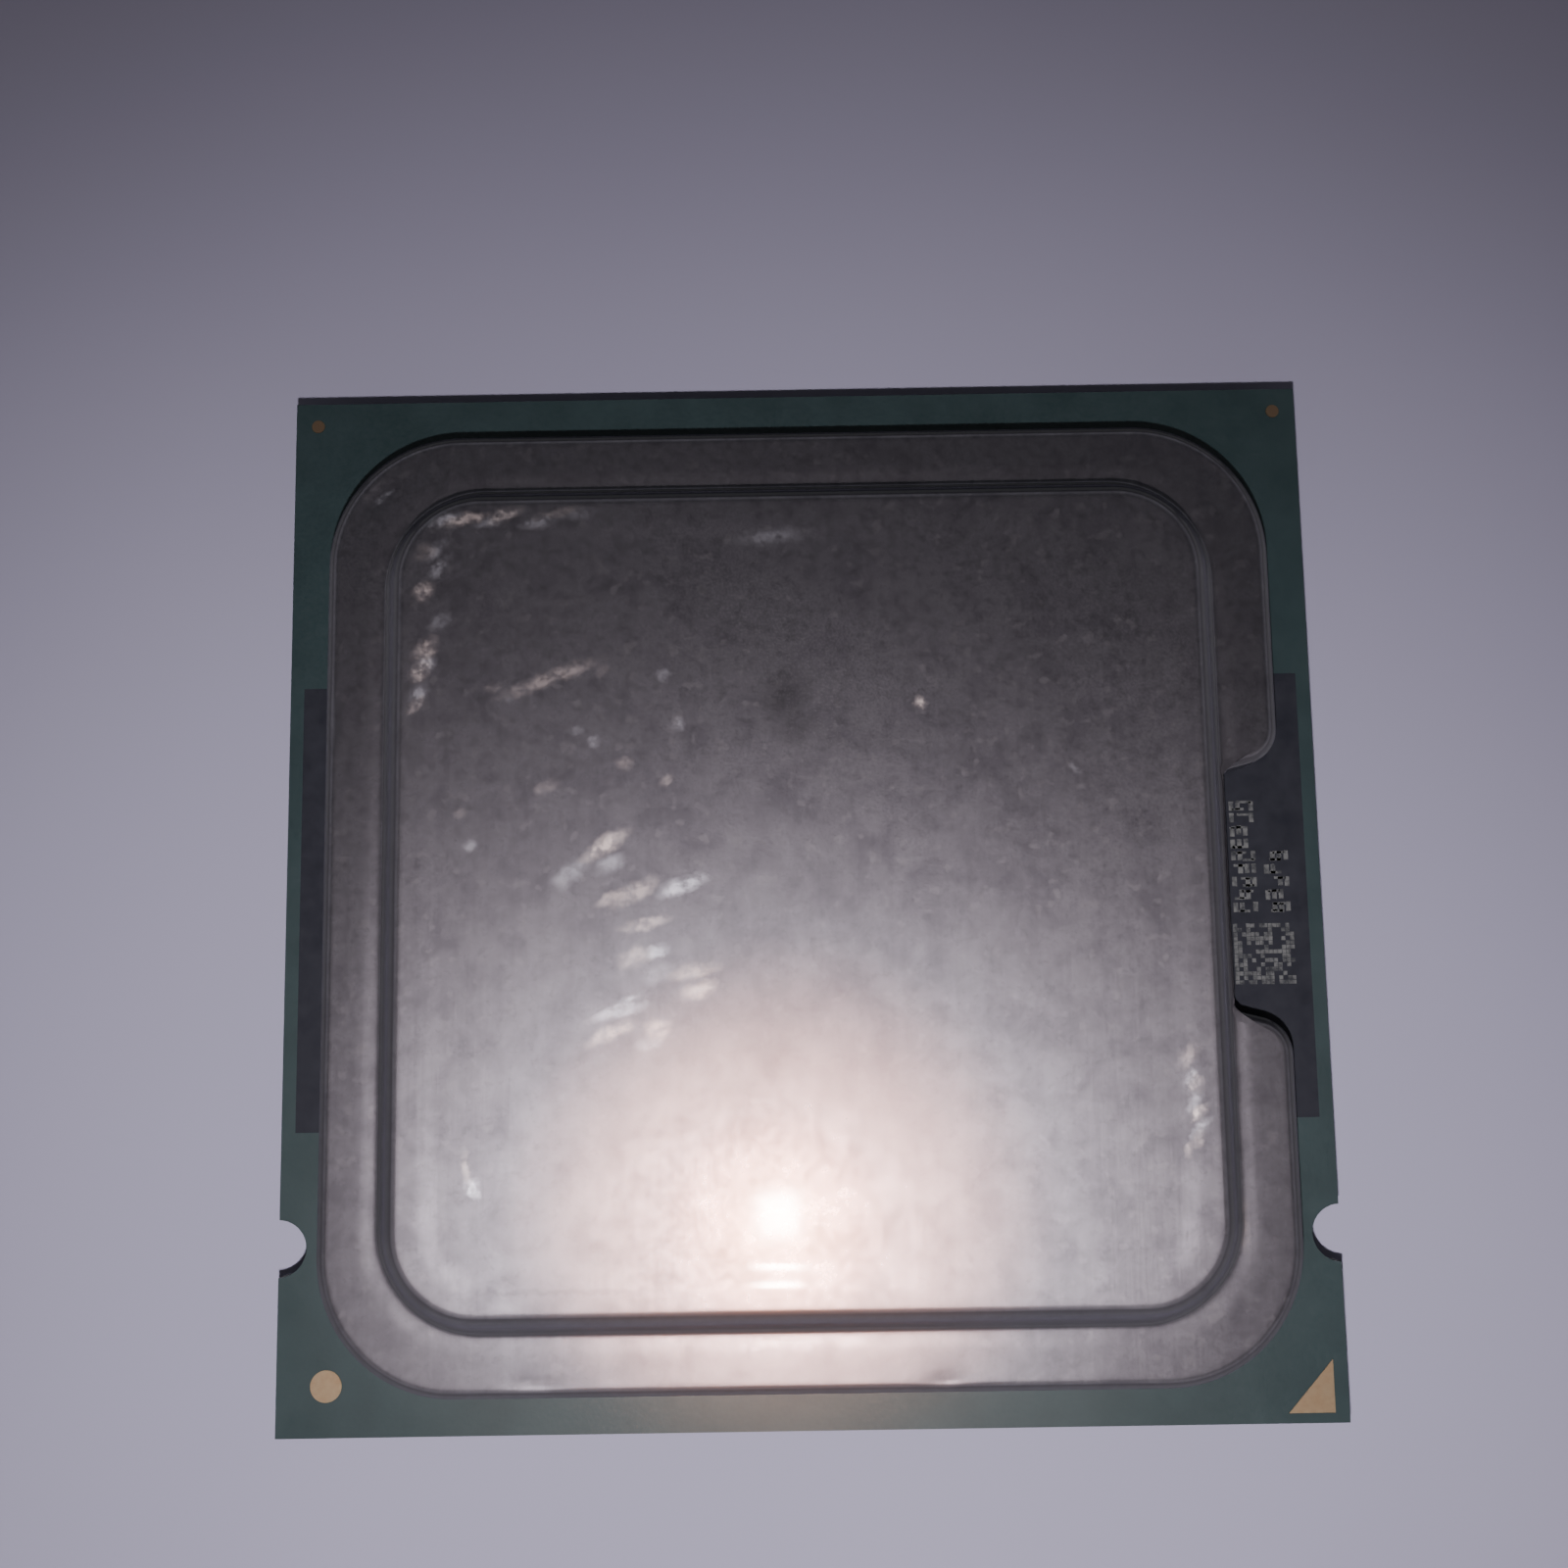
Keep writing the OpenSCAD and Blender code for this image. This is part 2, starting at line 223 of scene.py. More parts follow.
class Lofted:
    """Points and faces of a shape made of matching loops, closed by a grid at each end."""

    def __init__(self):
        self.points, self.faces, self.last = [], [], None

    def ring(self, loop_points, z):
        start = len(self.points)
        self.points += [(x, y, z) for x, y in loop_points]
        now = list(range(start, len(self.points)))
        if self.last:
            n = len(now)
            for i in range(n):
                j = (i + 1) % n
                self.faces.append((self.last[i], self.last[j], now[j], now[i]))
        self.last = now

    def cap(self, c, z):
        """Fills the last ring with a grid whose corners are the centres of the ring's round corners."""
        rows, columns = len(ROWS), len(COLUMNS)
        start = len(self.points)
        for t in ROWS:
            self.points += [(s * c, t * c, z) for s in COLUMNS]

        def node(i, j):
            return start + i * columns + j

        for i in range(rows - 1):
            for j in range(columns - 1):
                self.faces.append((node(i, j), node(i, j + 1), node(i + 1, j + 1), node(i + 1, j)))
        right = [node(i, columns - 1) for i in range(rows)]
        top = [node(rows - 1, j) for j in reversed(range(columns))]
        left = [node(i, 0) for i in reversed(range(rows))]
        bottom = [node(0, j) for j in range(columns)]
        inner = []
        for side in (right, top, left, bottom):
            inner += side + [side[-1]] * (CORNER_STEPS - 1)
        n = len(self.last)
        for i in range(n):
            j = (i + 1) % n
            corners = [self.last[i], self.last[j], inner[j], inner[i]]
            self.faces.append(tuple(dict.fromkeys(corners)))  # a triangle at a round corner


def smooth(t):
    t = min(1.0, max(0.0, t))
    return t * t * (3 - 2 * t)


def plateau_z(depth):
    """Height of the plateau's face at a distance in from its wall: flat, with a faint raised border."""
    return LID_HI.z - RIM_HEIGHT * smooth((depth - RIM_START) / (RIM_END - RIM_START))


def make_spreader():
    """The heat spreader's plate, lofted from its cavity's ceiling round the flange to its top face."""
    form = Lofted()
    form.ring(cavity_loop(-CAVITY_BEND), CAVITY_Z)
    ceiling = form.last
    form.cap(CAVITY_HALF - CAVITY_R, CAVITY_Z)
    form.last = ceiling
    for t in spaced(0, math.pi / 2, 4)[1:]:
        form.ring(cavity_loop(CAVITY_BEND * (math.sin(t) - 1)), CAVITY_Z - CAVITY_BEND * (1 - math.cos(t)))
    cavity = cavity_loop(0)
    form.ring(cavity, LID_LO.z + CAVITY_LEAD)
    form.ring(cavity_loop(CAVITY_LEAD), LID_LO.z)

    rim, side = flange_loop(UNDER_EDGE), flange_loop(0)
    form.ring(between(cavity, rim, 0.5), LID_LO.z)
    form.ring(rim, LID_LO.z)
    form.ring(flange_loop(UNDER_BEND), LID_LO.z + UNDER_BEND)
    for z in (LID_LO.z + UNDER_EDGE, FLANGE_Z - 2 * FLANGE_EDGE, FLANGE_Z - FLANGE_EDGE):
        form.ring(side, z)
    for t in spaced(LIP_TILT, 0, 7):
        inset = FLANGE_EDGE * (1 - math.sin(t) / math.sin(LIP_TILT))
        form.ring(flange_loop(inset), FLANGE_Z - FLANGE_EDGE * (1 - math.cos(t)) / math.sin(LIP_TILT))

    edge, foot = flange_loop(FLANGE_EDGE), plateau_loop(FOOT_OUT)
    for share in TREAD_SHARES:
        dip = GUTTER * smooth((share - GUTTER_START) / (1 - GUTTER_START))
        form.ring(between(edge, foot, share), FLANGE_Z - dip)
    for t in spaced(0, WALL_TILT, 8)[1:]:
        z = FLANGE_Z - GUTTER + FOOT_R * (1 - math.cos(t))
        form.ring(plateau_loop(FOOT_OUT - FOOT_R * math.sin(t)), z)
    for t in spaced(WALL_TILT, 0, 12):
        form.ring(plateau_loop(EDGE_R * (math.sin(t) - 1)), LID_HI.z - EDGE_R * (1 - math.cos(t)))

    face_start = len(form.points)
    for depth in (0.7, 0.9, *spaced(RIM_START, RIM_END, 10), 2.4, 2.75):
        form.ring(plateau_loop(-depth), plateau_z(depth))
    form.cap(PLATEAU_HALF - PLATEAU_R, LID_HI.z - RIM_HEIGHT)
    points = worn(form.points, face_start)
    return add_piece("heat_spreader_plate", points, form.faces, SMOOTH_ANGLE)


DENTS = [
    # where, reach along and across its line, angle of the line, depth
    ((-15.35, 14.6), 0.6, 0.17, 45, 0.05),
    ((15.2, 15.1), 0.4, 0.15, -42, 0.04),
    ((-9.4, -16.8), 0.7, 0.15, 0, 0.03),
    ((4.6, -16.85), 0.4, 0.15, 0, 0.04),
    ((-16.8, 6.2), 0.5, 0.15, 90, 0.03),
]


def worn(points, face_start):
    """Moves the lid to its place. Its border is highest at -Y, and it has small dents and faint waves."""
    out = []
    for i, (x, y, z) in enumerate(points):
        if i >= face_start:
            fade = smooth((-y - RIM_FADE_START) / RIM_FADE_WIDTH)
            z = LID_HI.z - (LID_HI.z - z) * (RIM_LEAST + (1 - RIM_LEAST) * fade)
        y += LID_SHIFT
        if z > FLANGE_Z - FLANGE_EDGE:
            p = Vector((x, y, 0))
            z -= BROAD_WAVE * (1 + noise.noise(p * 0.2))
            z -= FINE_WAVE * (1 + noise.noise(p * 0.7 + Vector((9, 4, 2))))
            for (cx, cy), along, across, angle, depth in DENTS:
                t = math.radians(angle)
                u = ((x - cx) * math.cos(t) + (y - cy) * math.sin(t)) / along
                v = ((y - cy) * math.cos(t) - (x - cx) * math.sin(t)) / across
                z -= depth * math.exp(-u * u - v * v)
        out.append((x, y, z))
    return out


spreader = make_spreader()
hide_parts("heat_spreader")

# Ink marks on the right label band: a square of random cells and two rows of abstract blocks.

BAND_Z = top_of("label_band_right")
MARK_T = 0.006
MARK_JOG = 0.008
MARK_SEED = 11
CELL = 0.157
CELLS = 14
CELL_INK = 0.9 * CELL
CELL_ODDS = 0.62
SQUARE_X = 15.5
SQUARE_Y = -3.52
ROWS_START = -0.98
ROW_PITCH = 0.465
MARK_ROWS = [(15.5, 9), (16.68, 5)]  # left edge, blocks up the row
POST_X = 0.14
POST_GAP = 0.24
POST = (0.17, 0.34)
BAR_RISE = 0.13
BAR = (0.42, 0.09)


def make_marks():
    rng = random.Random(MARK_SEED)
    vertices, faces = [], []

    def block(x, y, w, d):
        base = len(vertices)
        jog = [rng.uniform(-MARK_JOG, MARK_JOG) for _ in range(4)]
        corners = [
            (-w / 2 + jog[0], -d / 2),
            (w / 2, -d / 2 + jog[1]),
            (w / 2 + jog[2], d / 2),
            (-w / 2, d / 2 + jog[3]),
        ]
        for z in (BAND_Z, BAND_Z + MARK_T):
            vertices.extend((x + cx, y + cy, z) for cx, cy in corners)
        faces.append([base + i for i in (3, 2, 1, 0)])
        faces.append([base + i for i in (4, 5, 6, 7)])
        for i in range(4):
            j = (i + 1) % 4
            faces.append((base + i, base + j, base + 4 + j, base + 4 + i))

    for i in range(CELLS):
        for j in range(CELLS):
            if rng.random() < CELL_ODDS:
                block(SQUARE_X + (i + 0.5) * CELL, SQUARE_Y + (j + 0.5) * CELL, CELL_INK, CELL_INK)
    for left, count in MARK_ROWS:
        for k in range(count):
            y = ROWS_START + (k + 0.5) * ROW_PITCH
            for place in rng.sample(range(4), rng.choice((2, 3, 3))):
                block(left + POST_X + place * POST_GAP, y + rng.uniform(-0.03, 0.03), *POST)
            for side in rng.sample((-1, 1), rng.choice((1, 2))):
                block(left + rng.uniform(0.3, 0.7), y + side * BAR_RISE, *BAR)
    return add_piece("label_marks", vertices, faces)


marks = make_marks()


# Materials

FLASH = Vector((-1.7, -17.3, 69.5))  # the phone's flash, beside the camera
GLINT = (-1.1, -11.5)  # where the lid mirrors it to the camera
LEAN_REACH = 70  # about the height of both
SPOT_EDGE = 1.35  # where a soft spot ends, in half lengths
TONE = (0.38, 0.62)
MIX_A, MIX_B, MIX_RESULT = 6, 7, 2  # the colour sockets of a mix node


class Nodes:
    """Adds nodes to a tree. Each value is a number, a vector, a colour or another node's output."""

    def __init__(self, tree):
        self.tree = tree

    def new(self, kind, inputs=(), **settings):
        node = self.tree.nodes.new(kind)
        for key, value in settings.items():
            setattr(node, key, value)
        for key, value in dict(inputs).items():
            self.join(value, node.inputs[key])
        return node

    def join(self, source, socket):
        if isinstance(source, tuple) and socket.type == "RGBA":
            source = (*source, 1.0)
        if isinstance(source, (int, float, tuple)):
            socket.default_value = source
        else:
            self.tree.links.new(source, socket)

    def math(self, operation, *values, clamp=False):
        node = self.new("ShaderNodeMath", enumerate(values), operation=operation, use_clamp=clamp)
        return node.outputs[0]

    def vector_math(self, operation, *values):
        node = self.new("ShaderNodeVectorMath", enumerate(values), operation=operation)
        return node.outputs["Value" if operation == "LENGTH" else "Vector"]

    def xyz(self, vector):
        return self.new("ShaderNodeSeparateXYZ", {0: vector}).outputs


class Surface(Nodes):
    """Builds one material's nodes. Coordinates are in millimetres, in the package's own frame."""

    def __init__(self, name):
        self.material = bpy.data.materials.new(name)
        self.material.use_nodes = True
        super().__init__(self.material.node_tree)
        self.shader = self.tree.nodes["Principled BSDF"]
        self.mm = self.scaled(self.new("ShaderNodeTexCoord").outputs["Object"], (1 / MM,) * 3)
        self.blurred = self.mm

    def scaled(self, vector, scale):
        return self.new("ShaderNodeMapping", {"Vector": vector, "Scale": scale}).outputs["Vector"]

    def noise_node(self, scale, detail, rough=0.5, vector=None, warp=0):
        inputs = {"Scale": scale, "Detail": detail, "Roughness": rough, "Distortion": warp}
        return self.new("ShaderNodeTexNoise", {"Vector": vector or self.mm, **inputs})

    def noise(self, *values, **more):
        return self.noise_node(*values, **more).outputs["Fac"]

    def remap(self, value, a, b, c=0.0, d=1.0):
        """The value's way from a to b, laid out from c to d and held within them."""
        inputs = {"Value": value, "From Min": a, "From Max": b, "To Min": c, "To Max": d}
        return self.new("ShaderNodeMapRange", inputs).outputs["Result"]

    def mix(self, share, a, b):
        inputs = {"Factor": share, MIX_A: a, MIX_B: b}
        return self.new("ShaderNodeMix", inputs, data_type="RGBA").outputs[MIX_RESULT]

    def blur_edges(self, scale, reach_mm):
        """Makes the spots' outlines uneven from here on."""
        reach = Vector((reach_mm, reach_mm, 0))
        corner = self.vector_math("SUBTRACT", self.mm, tuple(reach))
        cloud = self.noise_node(scale, 3).outputs["Color"]
        self.blurred = self.vector_math("MULTIPLY_ADD", cloud, tuple(2 * reach), corner)

    def distance(self, centre):
        """Distance from a point of the lid, in millimetres."""
        x, y, _ = self.xyz(self.mm)
        dx, dy = self.math("SUBTRACT", x, centre[0]), self.math("SUBTRACT", y, centre[1])
        squares = self.math("ADD", self.math("MULTIPLY", dx, dx), self.math("MULTIPLY", dy, dy))
        return self.math("SQRT", squares)

    def spots(self, places, core=0.5):
        """A mask of soft ellipses: where, length, width, angle and strength of each."""
        total = 0.0
        for centre, length, width, angle, strength in places:
            inputs = {
                "Vector": self.blurred,
                "Location": (*centre, 0),
                "Rotation": (0, 0, math.radians(angle)),
                "Scale": (length / 2, width / 2, 1000),
            }
            place = self.new("ShaderNodeMapping", inputs, vector_type="TEXTURE")
            size = self.vector_math("LENGTH", place.outputs["Vector"])
            total = self.math("MAXIMUM", self.remap(size, SPOT_EDGE, core, 0, strength), total)
        return total

    def normal(self):
        return self.new("ShaderNodeNewGeometry").outputs["Normal"]

    def lean(self, share_x, share_y):
        """The surface normal, leant by a share of what lets every place mirror the flash to the camera."""
        place = self.xyz(self.mm)
        tilt = self.new("ShaderNodeCombineXYZ")
        for axis, share in enumerate((share_x, share_y)):
            slope = self.math("MULTIPLY", self.math("SUBTRACT", GLINT[axis], place[axis]), 1 / LEAN_REACH)
            self.join(self.math("MULTIPLY", slope, share), tilt.inputs[axis])
        return self.vector_math("NORMALIZE", self.vector_math("ADD", self.normal(), tilt.outputs[0]))

    def facing(self, axis):
        return self.xyz(self.normal())[axis]

    def bump(self, height, strength, distance_mm, under=None):
        inputs = {"Height": height, "Strength": strength, "Distance": distance_mm * MM}
        if under:
            inputs["Normal"] = under
        return self.new("ShaderNodeBump", inputs).outputs["Normal"]

    def finish(self, **values):
        for key, value in values.items():
            self.join(value, self.shader.inputs[key.replace("_", " ")])
        return self.material


# Scuff marks on the lid: real wear whose colour is painted lighter and tinted warm or cool, as glints of
# the flash (painted highlight).
SCUFF_GLINT_SEED = 5
SCUFF_GLINT_TURN = 12
SCUFF_GLINT_LINES = [
    # count, start, end, drift, lengths, widths, angle, strengths
    (8, (-7.4, 1.2), (-4.6, -1.6), (1.3, 1.1), (0.8, 1.8), (0.35, 0.65), 24, (0.5, 1.0)),
    (9, (-4.2, -2.4), (-5.8, -5.6), (1.6, 0.6), (0.8, 1.8), (0.35, 0.7), 22, (0.3, 0.8)),
    (10, (-12.8, 12.8), (-13.4, 5.8), (0.4, 0.5), (0.5, 1.1), (0.35, 0.65), 45, (0.3, 0.9)),
    (7, (-12.8, 13.2), (-7.5, 13.4), (0.4, 0.25), (0.8, 1.8), (0.3, 0.55), 8, (0.4, 0.9)),
    (12, (-12.3, 4.5), (-3.5, 5.0), (0.6, 3.2), (0.4, 0.8), (0.3, 0.45), 22, (0.25, 0.6)),
    (7, (13.3, -5.8), (13.0, -9.2), (0.3, 0.25), (0.5, 1.0), (0.25, 0.55), 55, (0.3, 0.9)),
]
LONE_SCUFF_GLINTS = [
    # where, length, width, angle, strength
    ((-8.8, 7.5), 3.4, 0.5, 20, 0.6),
    ((-1.0, 12.5), 2.4, 0.6, 5, 0.45),
    ((4.2, 6.4), 0.4, 0.4, 0, 0.9),
    ((-15.1, 14.6), 0.9, 0.25, 42, 0.7),
    ((-11.6, -9.4), 1.0, 0.3, -80, 0.5),
    ((-11.4, -10.1), 0.8, 0.4, -65, 1.0),
    ((15.0, -11.8), 1.6, 0.4, 90, 0.4),
    ((9.6, 4.0), 0.5, 0.25, -50, 0.4),
]
# Dark marks on the lid: stains, with painted shade along the rim's inner edge and a painted shadow along
# the cut-out's inner wall.
DARK_MARKS_AND_SHADE = [
    # where, length, width, angle, strength
    ((-0.5, 6.7), 1.9, 1.5, 60, 0.55),
    ((-0.1, 5.6), 1.6, 1.1, 20, 0.4),
    # painted shade: a dark line along the rim's inner edge on the -Y side
    ((-7.5, -13.55), 8.0, 0.2, 0, 0.3),
    ((-10.4, -7.2), 2.6, 0.5, 92, 0.2),
    # painted shadow along the cut-out's inner wall
    ((15.1, -0.2), 9.2, 0.6, 90, 1.0),
]


def scuff_glints():
    """Every scuff mark, with its painted glint, as where, length, width, angle and strength. Those in a
    line drift and turn at random.
    """
    rng = random.Random(SCUFF_GLINT_SEED)
    found = list(LONE_SCUFF_GLINTS)
    for count, start, end, drift, lengths, widths, angle, strengths in SCUFF_GLINT_LINES:
        for k in range(count):
            share = (k + 0.5) / count
            x = start[0] + (end[0] - start[0]) * share + rng.uniform(-drift[0], drift[0])
            y = start[1] + (end[1] - start[1]) * share + rng.uniform(-drift[1], drift[1])
            turn = angle + rng.uniform(-SCUFF_GLINT_TURN, SCUFF_GLINT_TURN)
            length, width = rng.uniform(*lengths), rng.uniform(*widths)
            found.append(((x, y), length, width, turn, rng.uniform(*strengths)))
    return found


def nickel():
    """Worn nickel plate: cloudy, scuffed, dull on its bends. Painted light: glints in its scuff marks, a
    darker, warmer halo round the glint, shade on its bends and walls, and a lighter side towards -X.
    """
    m = Surface("nickel_plate")
    cloud = m.noise(0.9, 3, 0.6, warp=0.3)
    broad = m.noise(0.16, 4, 0.55)
    speck = m.noise(3.0, 4, 0.6)
    streak = m.noise(1.0, 4, 0.6, m.scaled(m.mm, (1.7, 0.16, 1)))
    x, _, z = m.xyz(m.mm)
    up = m.facing(2)
    away = m.distance(GLINT)
    m.blur_edges(2.4, 0.24)
    patchy = m.remap(m.noise(3.2, 3, 0.65), 0.36, 0.58, 0.35, 1)
    places = scuff_glints()
    warm = m.math("MULTIPLY", m.spots(places[::2]), patchy)
    cool = m.math("MULTIPLY", m.spots(places[1::2]), patchy)

    tone = m.math("ADD", m.math("MULTIPLY", cloud, 0.6), m.math("MULTIPLY", broad, 0.2))
    tone = m.math("ADD", tone, m.math("MULTIPLY", streak, 0.2))
    depth = m.remap(away, 4, 17, 0.3, 1.25)
    # Painted light: the plate's tone is lighter towards -X.
    level = m.remap(x, 2, -13, 0.5, 0.68)
    share = m.math("MULTIPLY_ADD", m.math("SUBTRACT", m.remap(tone, *TONE), 0.5), depth, level)
    colour = m.mix(share, (0.38, 0.365, 0.435), (0.63, 0.61, 0.71))
    dust = m.math("MULTIPLY", m.remap(speck, 0.55, 0.7, 0, 0.34), depth)
    colour = m.mix(dust, colour, (0.28, 0.27, 0.33))
    flecks = m.math("MULTIPLY", m.remap(m.noise(1.9, 2, 0.5), 0.6, 0.7, 0, 0.3), depth)
    colour = m.mix(flecks, colour, (0.80, 0.77, 0.86))
    # Painted reflection: the plate is darker within 9.5 mm of the flash's glint, as part of its painted
    # warm halo.
    colour = m.mix(m.remap(away, 9.5, 3, 0, 0.8), colour, (0.30, 0.262, 0.305))
    # Dark stains, with painted shade along the rim and a painted shadow by the cut-out.
    colour = m.mix(m.spots(DARK_MARKS_AND_SHADE, 0.3), colour, (0.22, 0.21, 0.25))
    # Painted reflection: a warm tint within 4 mm of the glint, the core of the flash's painted warm halo.
    colour = m.mix(m.remap(away, 4.0, 0.8, 0, 0.8), colour, (0.50, 0.36, 0.31))
    # Painted highlight: the scuff marks' colour is lighter, tinted cool and warm, so that they glint in the
    # flash.
    colour = m.mix(m.math("MULTIPLY", cool, 0.8), colour, (0.74, 0.77, 0.89))
    colour = m.mix(m.math("MULTIPLY", warm, 0.8), colour, (0.89, 0.77, 0.74))
    # Painted shade: steep faces are painted dark grey, and the bends over the edges and feet of the plateau
    # and flange are painted dark, darkest where they face +Y.
    bent = m.math("MULTIPLY", m.remap(up, 0.996, 0.94), m.remap(up, 0.05, 0.4))
    wall = m.mix(m.remap(up, 0.4, 0.78), (0.24, 0.235, 0.27), colour)
    bend_shade = m.mix(m.remap(m.facing(1), -0.1, 0.5), (0.28, 0.27, 0.31), (0.05, 0.05, 0.065))
    colour = m.mix(bent, wall, bend_shade)

    rough = m.math("ADD", m.remap(tone, *TONE, 0.40, 0.345), m.remap(speck, 0.3, 0.7, -0.02, 0.04))
    rough = m.math("ADD", rough, m.remap(away, 0.5, 10, -0.105, 0))
    rough = m.math("MULTIPLY_ADD", bent, 0.42, rough)

    lean = m.math("MULTIPLY", m.math("MAXIMUM", warm, cool), 0.52)
    dished = m.remap(z, FLANGE_Z + 0.8, LID_HI.z - 0.1, 0, 0.22)
    normal = m.lean(m.math("ADD", lean, dished), lean)
    normal = m.bump(m.noise(0.8, 3, 0.5), 0.6, 0.007, normal)
    normal = m.bump(m.noise(1.0, 3, 0.6, m.scaled(m.mm, (6.5, 0.22, 1))), 0.6, 0.0024, normal)
    normal = m.bump(m.noise(7, 3, 0.5), 0.5, 0.0012, normal)
    look = {"Metallic": 1.0, "Coat_Weight": 0.55, "Coat_Roughness": 0.07}
    return m.finish(Base_Color=colour, Roughness=rough, Normal=normal, **look)


def solder_mask():
    m = Surface("solder_mask")
    cloud = m.noise(0.5, 5, 0.6)
    grain = m.noise(7, 3, 0.5)
    colour = m.mix(m.remap(cloud, 0.3, 0.7), (0.023, 0.048, 0.053), (0.036, 0.066, 0.072))
    rough = m.remap(grain, 0.3, 0.7, 0.40, 0.5)
    normal = m.bump(grain, 0.4, 0.006)
    return m.finish(Base_Color=colour, Roughness=rough, Normal=normal, Specular_IOR_Level=1.0, IOR=1.65)


def band_ink():
    m = Surface("label_ink")
    cloud = m.noise(1.1, 5, 0.65)
    colour = m.mix(m.remap(cloud, 0.3, 0.7), (0.022, 0.023, 0.034), (0.038, 0.039, 0.052))
    rough = m.remap(cloud, 0.3, 0.7, 0.5, 0.65)
    return m.finish(Base_Color=colour, Roughness=rough, Normal=m.bump(m.noise(10, 4), 0.4, 0.005))


def mark_ink():
    m = Surface("mark_ink")
    wear = m.noise(3.5, 4, 0.65)
    colour = m.mix(m.remap(wear, 0.35, 0.62), (0.05, 0.052, 0.06), (0.20, 0.20, 0.20))
    return m.finish(Base_Color=colour, Roughness=0.75)


def gold():
    """Gold plating, its colour darker and browner towards +Y."""
    m = Surface("gold_plating")
    cloud = m.noise(2.5, 4, 0.6)
    colour = m.mix(m.remap(cloud, 0.3, 0.7), (0.78, 0.53, 0.32), (0.94, 0.70, 0.46))
    colour = m.mix(m.remap(m.xyz(m.mm)[1], 0, 17, 0, 0.75), colour, (0.26, 0.17, 0.12))
    rough = m.remap(cloud, 0.3, 0.7, 0.46, 0.36)
    normal = m.bump(m.noise(9, 4), 0.4, 0.004)
    return m.finish(Base_Color=colour, Metallic=0.75, Roughness=rough, Normal=normal)


def laminate(name, dark, light, weave_mm):
    m = Surface(name)
    inputs = {
        "Vector": m.scaled(m.mm, (0.3, 0.3, 1 / weave_mm)),
        "Scale": 0.314,
        "Distortion": 2.5,
        "Detail": 3,
    }
    lines = m.new("ShaderNodeTexWave", inputs, wave_type="BANDS", bands_direction="Z")
    fibre = m.noise(5, 5, 0.6, m.scaled(m.mm, (0.6, 0.6, 4)))
    share = m.math("MULTIPLY", lines.outputs["Fac"], fibre)
    colour = m.mix(m.remap(share, 0.05, 0.5), dark, light)
    return m.finish(Base_Color=colour, Roughness=0.7, Normal=m.bump(fibre, 0.5, 0.02))


def plain(name, dark, light, scale, metallic=0.0, rough=(0.4, 0.6)):
    m = Surface(name)
    cloud = m.noise(scale, 5, 0.6)
    colour = m.mix(m.remap(cloud, 0.3, 0.7), dark, light)
    rough = m.remap(cloud, 0.3, 0.7, *rough)
    normal = m.bump(m.noise(scale * 4, 4), 0.4, 0.006)
    return m.finish(Base_Color=colour, Metallic=metallic, Roughness=rough, Normal=normal)


LAMINATES = {
    # dark and light colour, height of a layer of weave
    "core_epoxy": ((0.055, 0.06, 0.045), (0.15, 0.15, 0.11), 0.2),
    "buildup_dielectric": ((0.03, 0.05, 0.03), (0.07, 0.10, 0.06), 0.05),
}
PLAIN = {
    # dark and light colour, noise scale, metallic, roughness of the dark and the light
    "copper": ((0.55, 0.22, 0.11), (0.75, 0.36, 0.20), 1.5, 1.0, (0.35, 0.5)),
    "solder": ((0.45, 0.45, 0.46), (0.66, 0.66, 0.67), 4, 1.0, (0.3, 0.45)),
    "silicon": ((0.05, 0.052, 0.06), (0.09, 0.093, 0.105), 1.2, 0.0, (0.15, 0.25)),
    "underfill_epoxy": ((0.13, 0.075, 0.03), (0.22, 0.13, 0.06), 1.5),
    "sealant": ((0.012, 0.012, 0.014), (0.03, 0.03, 0.032), 2.5),
    "capacitor_ceramic": ((0.12, 0.07, 0.04), (0.20, 0.125, 0.08), 3.5, 0.0, (0.5, 0.7)),
    "terminal_tin": ((0.5, 0.5, 0.5), (0.72, 0.72, 0.71), 5, 1.0, (0.3, 0.45)),
}

spreader.data.materials.append(nickel())
marks.data.materials.append(mark_ink())
slots = {"solder_mask": solder_mask(), "gold_plating": gold(), "label_ink": band_ink()}
slots.update({name: laminate(name, *look) for name, look in LAMINATES.items()})
slots.update({name: plain(name, *look) for name, look in PLAIN.items()})
for part in frame["record"]["subparts"]:
    node = frame["nodes"][part["node"]]
    if part["material_slot"] in slots:
        node.data.materials.clear()
        node.data.materials.append(slots[part["material_slot"]])

SOFT_EDGES = {
    # width of the bevel
    "array_capacitor_bodies": 0.02,
    "array_capacitor_terminals": 0.012,
    "chip_capacitor_bodies": 0.02,
    "chip_capacitor_terminals": 0.012,
}
for name, width in SOFT_EDGES.items():
    bevel = frame["nodes"][name].modifiers.new("soft_edges", "BEVEL")
    bevel.width = width * MM
    bevel.segments = 2
    bevel.limit_method = "ANGLE"


# Floor and light

FLOOR_HALF = 1500
CARD_AWAY = 320
CARD_Z = 84
CARD_SIZE = (600, 130)
CARD_RADIANCE = 0.42
FLASH_SIZE = 2.6
WHITE = (1.0, 1.0, 1.0)


def make_floor():
    """A sheet of pale paper, far wider than the camera sees."""
    h = FLOOR_HALF * MM
    mesh = bpy.data.meshes.new("floor")
    mesh.from_pydata([(-h, -h, 0), (h, -h, 0), (h, h, 0), (-h, h, 0)], [], [(0, 1, 2, 3)])
    floor = in_scene("floor", mesh)
    m = Surface("floor")
    paper = m.mix(m.remap(m.noise(0.02, 3), 0.3, 0.7), (0.52, 0.49, 0.66), (0.565, 0.535, 0.71))
    normal = m.bump(m.noise(1.4, 5, 0.6), 0.2, 0.03)
    mesh.materials.append(m.finish(Base_Color=paper, Roughness=0.9, Normal=normal))


